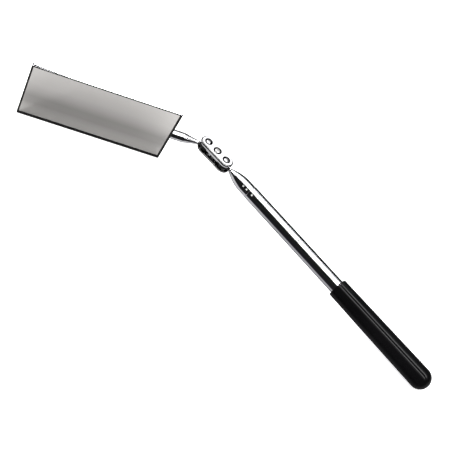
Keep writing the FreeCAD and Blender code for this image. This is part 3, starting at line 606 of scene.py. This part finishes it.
def build_sections():
    """The telescoping tubes; each mouth is crimped onto the next tube in."""
    for number in range(1, 5):
        radius = SECTION_RADIUS - SECTION_STEP * (number - 1)
        end = SECTION_END - SECTION_SHORTER * (number - 1)
        mouth = radius - SECTION_STEP + SECTION_GAP
        bore = radius - SECTION_WALL
        profile = [(SECTION_MOUTH, mouth)]
        profile += arc((SECTION_MOUTH + 0.15, radius - 0.15), 0.15, 180, 90, 4)
        profile += [(end, radius), (end, bore), (SECTION_MOUTH + 1.4, bore), (SECTION_MOUTH + 1.2, mouth)]
        name = "section_%d_drawn" % number
        finish_piece(name, mesh_from(turned(profile, 72), name), HANDLE, "section_%d" % number,
                     "tube_chrome", DRAWN_STEEL, "section_tube_%d" % number)
    profile = [(LAST_TUBE_START, LAST_TUBE_BORE), (LAST_TUBE_START, LAST_TUBE_RADIUS),
               (LAST_TUBE_END, LAST_TUBE_RADIUS), (LAST_TUBE_END, LAST_TUBE_BORE)]
    finish_piece("section_5_drawn", mesh_from(turned(profile, 48), "section_5_drawn"), HANDLE, "tip",
                 "tube_chrome", DRAWN_STEEL, "section_tube_5")


def build_grip():
    """Dipped grip: rounded mouth with a soft bead, slight taper and a domed end."""
    profile = [(GRIP_MOUTH, TUBE_RADIUS)]
    profile += arc((GRIP_MOUTH + GRIP_BEAD, GRIP_MOUTH_RADIUS - GRIP_BEAD), GRIP_BEAD, 180, 90, 6)
    steps = 24
    span = GRIP_END - GRIP_RADIUS - GRIP_MOUTH - GRIP_BEAD
    for number in range(1, steps):
        share = number / steps
        profile.append((GRIP_MOUTH + GRIP_BEAD + span * share,
                        GRIP_MOUTH_RADIUS + (GRIP_RADIUS - GRIP_MOUTH_RADIUS) * share))
    profile += arc((GRIP_END - GRIP_RADIUS, 0.0), GRIP_RADIUS, 90, 0, 24)
    profile[-1] = (GRIP_END, 0.0)
    profile += [(TUBE_END + 1.0, 0.0), (TUBE_END + 1.0, TUBE_RADIUS)]
    finish_piece("grip_dipped", mesh_from(turned(profile), "grip_dipped"), HANDLE, "handle",
                 "grip_vinyl", VINYL, "grip")


# ---------------------------------------------------------------- carried CAD nodes

def dress_cad_nodes():
    """Give the CAD pieces that stay as they are a finish."""
    finishes = {
        "front_link_plate": LINK_CHROME, "rear_link_plate": REAR_CHROME_PAINTED_SHADE, "tension_screw": STAKED,
        "backing_pad": CARD, "tongue_rivets": TURNED_STEEL, "tube_end_plug": TURNED_STEEL,
    }
    finishes.update({"friction_sleeve_%d" % number: BRASS for number in range(1, 6)})
    for name, material in finishes.items():
        mesh = frame["nodes"][name].data
        mesh.materials.clear()
        mesh.materials.append(material)
        mesh.materials.append(RECESS_PAINTED_SHADE)
        mesh.materials.append(EDGE_PAINTED_SHADE)
        for face in mesh.polygons:
            face.material_index = CAD_OWN
    # Painted shade: the front plate's rounded rim takes the dark edge finish.
    mark_faces("front_link_plate", on_rolled_edge, CAD_EDGE_PAINTED_SHADE)
    # Painted shade: the ball windows, the screw recess and the screw's sides take the near-black finish.
    mark_faces("front_link_plate", in_window, CAD_RECESS_PAINTED_SHADE)
    mark_faces("rear_link_plate", in_window, CAD_RECESS_PAINTED_SHADE)
    mark_faces("front_link_plate", in_screw_recess, CAD_RECESS_PAINTED_SHADE)
    mark_faces("tension_screw", on_screw_side, CAD_RECESS_PAINTED_SHADE)


def mark_faces(name, holds, material_number):
    """Change the finish of a CAD piece's faces, picked by their middles in the link's own millimetres."""
    to_link = LINK.inverted()
    mesh = frame["nodes"][name].data
    for face in mesh.polygons:
        middle = to_link @ Vector(face.center) / MM
        if holds(middle):
            face.material_index = material_number


def on_rolled_edge(middle):
    """The rounded rim of the front plate."""
    from_spine = math.hypot(max(abs(middle.x) - PLATE_STRAIGHT, 0.0), middle.y)
    return from_spine > PLATE_FLAT + 0.08 and middle.z > PLATE_FACE - 0.34


def in_window(middle):
    """Everything inside the rim of either ball window."""
    return math.hypot(abs(middle.x) - BALL_SPACING / 2, middle.y) < WINDOW_RADIUS + 0.02


def in_screw_recess(middle):
    """Everything inside the rim of the recess round the screw."""
    return math.hypot(middle.x, middle.y) < RECESS_RADIUS + 0.02


def on_screw_side(middle):
    """The parts of the screw outside the flat top of its head."""
    return math.hypot(middle.x, middle.y) > SCREW_TOP_RADIUS + 0.02


# ---------------------------------------------------------------- studio

# Painted reflection: polished metal sees the floor as a painted grey table that ends in painted dark, which only
# reflections see. The table's edge has two runs, one beside the handle and one in front of the mirror; each is a
# point on it and the direction into the dark.
HANDLE_EDGE = ((-0.0655, -0.0113, 0.0), (-0.164, 0.986, 0.0))
MIRROR_EDGE = ((0.0306, 0.0058, 0.0), (-0.716, 0.698, 0.0))
EDGE_SOFTNESS = 0.007
PAINTED_DARK_REFLECTION = (0.008, 0.008, 0.010)
# Painted shade: table tones along X, darkest towards the handle, over a stretch in metres.
TABLE_RUN = (-0.01, 0.14)
TABLE_SHADE_ALONG = [(0.0, (0.316, 0.316, 0.322)), (0.37, 0.57), (0.57, 0.505), (1.0, 0.45)]
# Painted shade: how the table darkens and lightens on the way out from the mirror's foot.
MIRROR_FOOT = (0.0724, -0.0269, 0.0)
FROM_MIRROR = (-0.596, 0.803, 0.0)
BEFORE_MIRROR_REACH = 0.03
SHADE_BEFORE_MIRROR = [(0.0, 1.0), (0.133, 0.98), (0.267, 0.84), (0.4, 0.57), (0.533, 0.50), (0.667, 0.62),
                       (0.8, 0.70), (1.0, 0.727)]
# The room by how far a reflection points toward the end wall, from straight away to straight at it.
TOWARDS_END_WALL = (0.96, -0.27, 0.0)
END_WALL = [(0.0, 0.014), (0.84, 0.014), (0.93, 0.38), (1.0, 0.42)]

# Light panels: name, lowest and highest X and Y in metres, height and brightness.
PANELS = (
    ("front_panel", (-2.0, 0.13), (2.2, 0.66), 1.2, 0.95),
    ("back_panel", (-2.0, -0.86), (2.2, -0.24), 1.2, 0.95),
    ("far_panel", (-0.1, -1.24), (2.2, -1.08), 1.2, 2.0),
    ("front_strip", (-1.2, 0.17), (1.6, 0.30), 1.15, 12.0),
    ("back_strip", (-1.2, -0.44), (1.6, -0.24), 1.15, 10.0),
)

# Camera: its place from the handle ball in metres, its backward and upward directions, and its lens.
CAMERA_FROM_BALL = (-0.19907, 0.49482, 0.47438)
CAMERA_BACK, CAMERA_UP = (-0.24384, 0.67369, 0.69763), (0.66762, -0.40515, 0.62460)
CAMERA_LENS = 94.64

# A Mix node has inputs of each type; these are its two colours in, and its colour out.
MIX_FIRST, MIX_SECOND, MIX_RESULT = 6, 7, 2


def distance_from(nodes, links, point, direction):
    """How far a place on the floor lies from a point, along a direction."""
    place = nodes.new("ShaderNodeTexCoord")
    offset = nodes.new("ShaderNodeVectorMath")
    offset.operation = "SUBTRACT"
    offset.inputs[1].default_value = point
    links.new(place.outputs["Object"], offset.inputs[0])
    along = nodes.new("ShaderNodeVectorMath")
    along.operation = "DOT_PRODUCT"
    along.inputs[1].default_value = direction
    links.new(offset.outputs[0], along.inputs[0])
    return along.outputs["Value"]


def soft_step(nodes, links, value, start, end):
    """Smooth rise from 0 at the start to 1 at the end."""
    step = nodes.new("ShaderNodeMapRange")
    step.interpolation_type = "SMOOTHSTEP"
    step.inputs["From Min"].default_value = start
    step.inputs["From Max"].default_value = end
    links.new(value, step.inputs["Value"])
    return step.outputs["Result"]


def blend_colours(nodes, links, share, first, second):
    """From the first to the second of two colours or colour sockets, by a share."""
    mix = nodes.new("ShaderNodeMix")
    mix.data_type = "RGBA"
    links.new(share, mix.inputs[0])
    for socket, colour in ((mix.inputs[MIX_FIRST], first), (mix.inputs[MIX_SECOND], second)):
        if isinstance(colour, bpy.types.NodeSocket):
            links.new(colour, socket)
        else:
            socket.default_value = (*colour, 1.0)
    return mix.outputs[MIX_RESULT]


def scaled(nodes, links, value, low, high):
    """Share of the way from low to high, from 0 to 1."""
    share = nodes.new("ShaderNodeMapRange")
    share.inputs["From Min"].default_value = low
    share.inputs["From Max"].default_value = high
    links.new(value, share.inputs["Value"])
    return share.outputs["Result"]


def painted_table_reflection(nodes, links):
    """Painted reflection: grey of the table as polished metal sees it, with painted shade on it and painted dark
    past its edges.
    """
    across = distance_from(nodes, links, (0.0, 0.0, 0.0), (1.0, 0.0, 0.0))
    along = ramp(nodes, links, scaled(nodes, links, across, *TABLE_RUN), TABLE_SHADE_ALONG)
    before = distance_from(nodes, links, MIRROR_FOOT, FROM_MIRROR)
    band = ramp(nodes, links, scaled(nodes, links, before, 0.0, BEFORE_MIRROR_REACH), SHADE_BEFORE_MIRROR)
    lit = nodes.new("ShaderNodeMix")
    lit.data_type = "RGBA"
    lit.blend_type = "MULTIPLY"
    lit.inputs[0].default_value = 1.0
    links.new(along, lit.inputs[MIX_FIRST])
    links.new(band, lit.inputs[MIX_SECOND])
    edges = [distance_from(nodes, links, *edge) for edge in (HANDLE_EDGE, MIRROR_EDGE)]
    nearest = nodes.new("ShaderNodeMath")
    nearest.operation = "MINIMUM"
    links.new(edges[0], nearest.inputs[0])
    links.new(edges[1], nearest.inputs[1])
    dark = soft_step(nodes, links, nearest.outputs[0], -EDGE_SOFTNESS, EDGE_SOFTNESS)
    return blend_colours(nodes, links, dark, lit.outputs[MIX_RESULT], PAINTED_DARK_REFLECTION)


def build_floor():
    """Floor that is plain and pale to the camera, and to reflections a painted grey table with painted shade and
    painted dark.
    """
    material, nodes, links, shader = new_material("pale_floor")
    pale = ramp(nodes, links, noise(nodes, links, 3.0, 2.0), [(0.3, 0.80), (0.7, 0.82)])
    ray = nodes.new("ShaderNodeLightPath")
    links.new(blend_colours(nodes, links, ray.outputs["Is Glossy Ray"], pale, painted_table_reflection(nodes, links)),
              shader.inputs["Base Color"])
    shader.inputs["Roughness"].default_value = 1.0
    shader.inputs["Specular IOR Level"].default_value = 0.0
    glow = nodes.new("ShaderNodeMath")
    glow.operation = "MULTIPLY"
    glow.inputs[1].default_value = 0.8
    links.new(ray.outputs["Is Camera Ray"], glow.inputs[0])
    shader.inputs["Emission Color"].default_value = (1.0, 1.0, 1.0, 1.0)
    links.new(glow.outputs[0], shader.inputs["Emission Strength"])
    mesh = bpy.data.meshes.new("floor")
    reach = 4.0
    mesh.from_pydata([(-reach, -reach, 0), (reach, -reach, 0), (reach, reach, 0), (-reach, reach, 0)],
                     [], [(0, 1, 2, 3)])
    mesh.materials.append(material)
    floor = bpy.data.objects.new("floor", mesh)
    bpy.context.scene.collection.objects.link(floor)


def add_panel(name, low, high, height, brightness):
    """Soft panel that faces straight down, from its lowest to its highest X and Y, in metres."""
    light = bpy.data.lights.new(name, "AREA")
    light.shape = "RECTANGLE"
    light.size = high[0] - low[0]
    light.size_y = high[1] - low[1]
    light.energy = brightness * math.pi * light.size * light.size_y
    panel = bpy.data.objects.new(name, light)
    panel.location = ((low[0] + high[0]) / 2, (low[1] + high[1]) / 2, height)
    bpy.context.scene.collection.objects.link(panel)


def wall_tone(nodes, links):
    """The room as polished metal sees it: dark, with a grey wall beyond the mirror's end."""
    place = nodes.new("ShaderNodeTexCoord")
    towards = nodes.new("ShaderNodeVectorMath")
    towards.operation = "DOT_PRODUCT"
    towards.inputs[1].default_value = TOWARDS_END_WALL
    links.new(place.outputs["Generated"], towards.inputs[0])
    return ramp(nodes, links, scaled(nodes, links, towards.outputs["Value"], -1.0, 1.0), END_WALL)


def build_studio():
    """Wide soft panels overhead with a gap between them, two bright strips, and the room around them."""
    for panel in PANELS:
        add_panel(*panel)
    world = bpy.data.worlds.new("studio")
    world.use_nodes = True
    nodes, links = world.node_tree.nodes, world.node_tree.links
    ray = nodes.new("ShaderNodeLightPath")
    fill = blend_colours(nodes, links, ray.outputs["Is Camera Ray"], (0.8, 0.8, 0.8), (1.0, 1.0, 1.0))
    surroundings = blend_colours(nodes, links, ray.outputs["Is Glossy Ray"], fill, wall_tone(nodes, links))
    links.new(surroundings, nodes["Background"].inputs["Color"])
    bpy.context.scene.world = world


def build_camera():
    """Camera in front of the mirror, looking down on it at about 44 degrees."""
    back = Vector(CAMERA_BACK)
    up = Vector(CAMERA_UP)
    right = up.cross(back).normalized()
    up = back.normalized().cross(right)
    matrix = Matrix((right, up, back.normalized())).transposed().to_4x4()
    matrix.translation = Vector(joint("tip_swing")["pos_m"]) + Vector(CAMERA_FROM_BALL)
    camera_data = bpy.data.cameras.new("camera")
    camera_data.sensor_width = 36.0
    camera_data.lens = CAMERA_LENS
    camera_data.clip_start = 0.01
    camera = bpy.data.objects.new("camera", camera_data)
    bpy.context.scene.collection.objects.link(camera)
    camera.matrix_world = matrix
    bpy.context.scene.camera = camera


build_frame()
build_glass()
build_stem()
build_heel()
build_tongue()
build_balls()
build_necks()
build_nose()
build_outer_tube()
build_sections()
build_grip()
dress_cad_nodes()
build_floor()
build_studio()
build_camera()
bpy.context.scene.view_settings.view_transform = "Standard"
